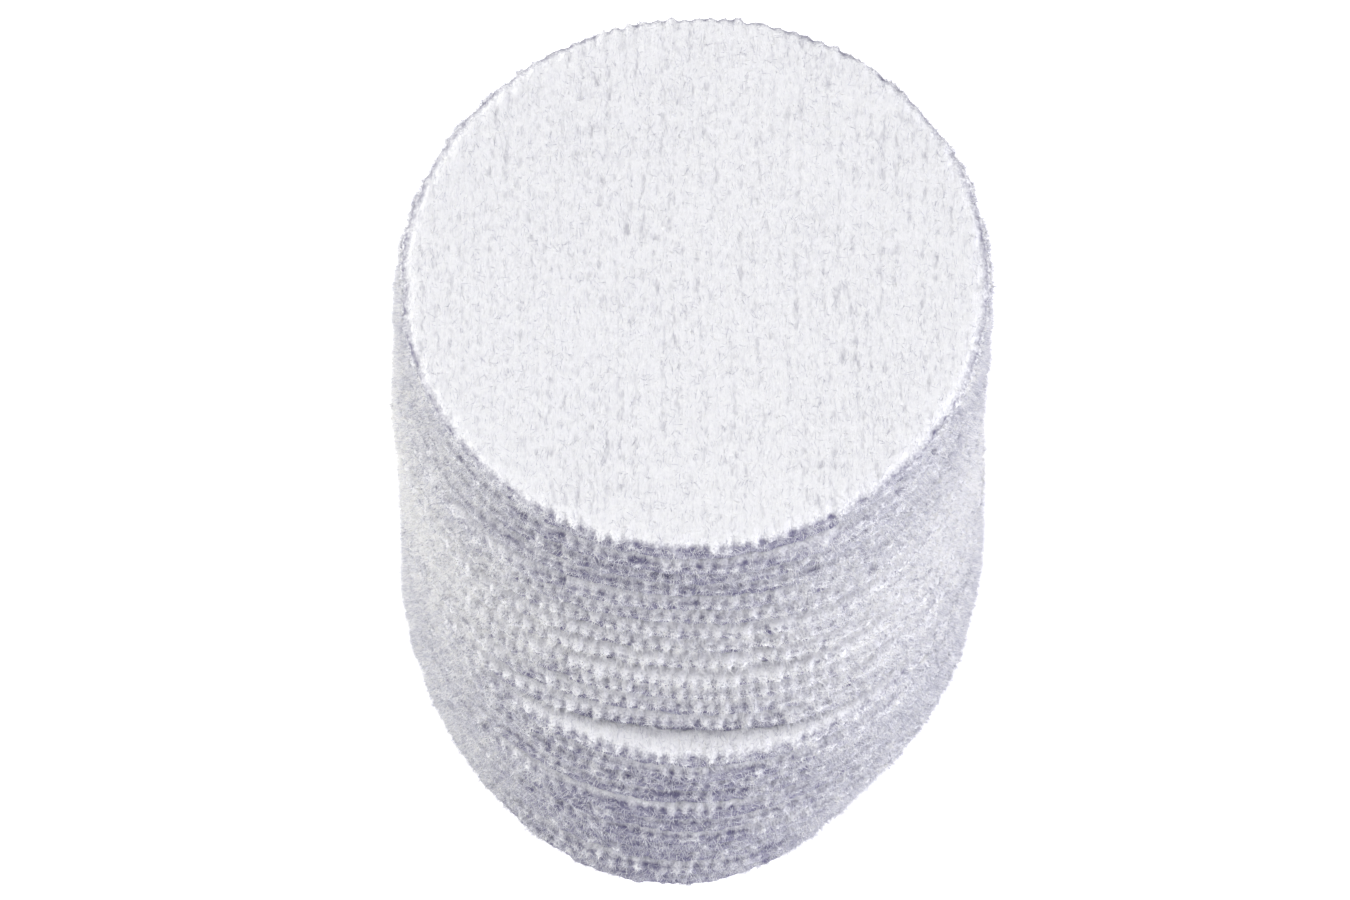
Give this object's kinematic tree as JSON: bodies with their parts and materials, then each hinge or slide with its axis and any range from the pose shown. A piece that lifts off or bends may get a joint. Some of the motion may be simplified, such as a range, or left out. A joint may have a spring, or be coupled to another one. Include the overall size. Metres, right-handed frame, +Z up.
{
  "type": "cloth polishing disc stack",
  "caption": "Free-standing pile of loose round die-cut discs of white napped cotton cloth, for polishing, buffing and wiping small stones and metal.",
  "frame": {"origin": "centre of the bottom disc's underside, which the pile stands on", "axes": "+Z up through the pile, +X to the right and +Y to the back of the way it leans"},
  "size_m": [0.0388, 0.0402, 0.0527],
  "materials": {
    "white_felt": "matte white knitted cotton with a raised nap on both faces and a fuzzy cut edge"
  },
  "bodies": {
    "felt_disc_01": {"felt_disc_01": "white_felt"},
    "felt_disc_02": {"felt_disc_02": "white_felt"},
    "felt_disc_03": {"felt_disc_03": "white_felt"},
    "felt_disc_04": {"felt_disc_04": "white_felt"},
    "felt_disc_05": {"felt_disc_05": "white_felt"},
    "felt_disc_06": {"felt_disc_06": "white_felt"},
    "felt_disc_07": {"felt_disc_07": "white_felt"},
    "felt_disc_08": {"felt_disc_08": "white_felt"},
    "felt_disc_09": {"felt_disc_09": "white_felt"},
    "felt_disc_10": {"felt_disc_10": "white_felt"},
    "felt_disc_11": {"felt_disc_11": "white_felt"},
    "felt_disc_12": {"felt_disc_12": "white_felt"},
    "felt_disc_13": {"felt_disc_13": "white_felt"},
    "felt_disc_14": {"felt_disc_14": "white_felt"},
    "felt_disc_15": {"felt_disc_15": "white_felt"},
    "felt_disc_16": {"felt_disc_16": "white_felt"},
    "felt_disc_17": {"felt_disc_17": "white_felt"},
    "felt_disc_18": {"felt_disc_18": "white_felt"},
    "felt_disc_19": {"felt_disc_19": "white_felt"},
    "felt_disc_20": {"felt_disc_20": "white_felt"},
    "felt_disc_21": {"felt_disc_21": "white_felt"},
    "felt_disc_22": {"felt_disc_22": "white_felt"},
    "felt_disc_23": {"felt_disc_23": "white_felt"},
    "felt_disc_24": {"felt_disc_24": "white_felt"}
  },
  "joints": [
    {"name": "disc_02_lift", "type": "slide", "parent": "felt_disc_01", "child": "felt_disc_02", "axis": [0, 0, 1], "range_m": [0, 0.012]},
    {"name": "disc_03_lift", "type": "slide", "parent": "felt_disc_02", "child": "felt_disc_03", "axis": [0, 0, 1], "range_m": [0, 0.012]},
    {"name": "disc_04_lift", "type": "slide", "parent": "felt_disc_03", "child": "felt_disc_04", "axis": [0, 0, 1], "range_m": [0, 0.012]},
    {"name": "disc_05_lift", "type": "slide", "parent": "felt_disc_04", "child": "felt_disc_05", "axis": [0, 0, 1], "range_m": [0, 0.012]},
    {"name": "disc_06_lift", "type": "slide", "parent": "felt_disc_05", "child": "felt_disc_06", "axis": [0, 0, 1], "range_m": [0, 0.012]},
    {"name": "disc_07_lift", "type": "slide", "parent": "felt_disc_06", "child": "felt_disc_07", "axis": [0, 0, 1], "range_m": [0, 0.012]},
    {"name": "disc_08_lift", "type": "slide", "parent": "felt_disc_07", "child": "felt_disc_08", "axis": [0, 0, 1], "range_m": [0, 0.012]},
    {"name": "disc_09_lift", "type": "slide", "parent": "felt_disc_08", "child": "felt_disc_09", "axis": [0, 0, 1], "range_m": [0, 0.012]},
    {"name": "disc_10_lift", "type": "slide", "parent": "felt_disc_09", "child": "felt_disc_10", "axis": [0, 0, 1], "range_m": [0, 0.012]},
    {"name": "disc_11_lift", "type": "slide", "parent": "felt_disc_10", "child": "felt_disc_11", "axis": [0, 0, 1], "range_m": [0, 0.012]},
    {"name": "disc_12_lift", "type": "slide", "parent": "felt_disc_11", "child": "felt_disc_12", "axis": [0, 0, 1], "range_m": [0, 0.012]},
    {"name": "disc_13_lift", "type": "slide", "parent": "felt_disc_12", "child": "felt_disc_13", "axis": [0, 0, 1], "range_m": [0, 0.012]},
    {"name": "disc_14_lift", "type": "slide", "parent": "felt_disc_13", "child": "felt_disc_14", "axis": [0, 0, 1], "range_m": [0, 0.012]},
    {"name": "disc_15_lift", "type": "slide", "parent": "felt_disc_14", "child": "felt_disc_15", "axis": [0, 0, 1], "range_m": [0, 0.012]},
    {"name": "disc_16_lift", "type": "slide", "parent": "felt_disc_15", "child": "felt_disc_16", "axis": [0, 0, 1], "range_m": [0, 0.012]},
    {"name": "disc_17_lift", "type": "slide", "parent": "felt_disc_16", "child": "felt_disc_17", "axis": [0, 0, 1], "range_m": [0, 0.012]},
    {"name": "disc_18_lift", "type": "slide", "parent": "felt_disc_17", "child": "felt_disc_18", "axis": [0, 0, 1], "range_m": [0, 0.012]},
    {"name": "disc_19_lift", "type": "slide", "parent": "felt_disc_18", "child": "felt_disc_19", "axis": [0, 0, 1], "range_m": [0, 0.012]},
    {"name": "disc_20_lift", "type": "slide", "parent": "felt_disc_19", "child": "felt_disc_20", "axis": [0, 0, 1], "range_m": [0, 0.012]},
    {"name": "disc_21_lift", "type": "slide", "parent": "felt_disc_20", "child": "felt_disc_21", "axis": [0, 0, 1], "range_m": [0, 0.012]},
    {"name": "disc_22_lift", "type": "slide", "parent": "felt_disc_21", "child": "felt_disc_22", "axis": [0, 0, 1], "range_m": [0, 0.012]},
    {"name": "disc_23_lift", "type": "slide", "parent": "felt_disc_22", "child": "felt_disc_23", "axis": [0, 0, 1], "range_m": [0, 0.012]},
    {"name": "disc_24_lift", "type": "slide", "parent": "felt_disc_23", "child": "felt_disc_24", "axis": [0, 0, 1], "range_m": [0, 0.012]}
  ]
}
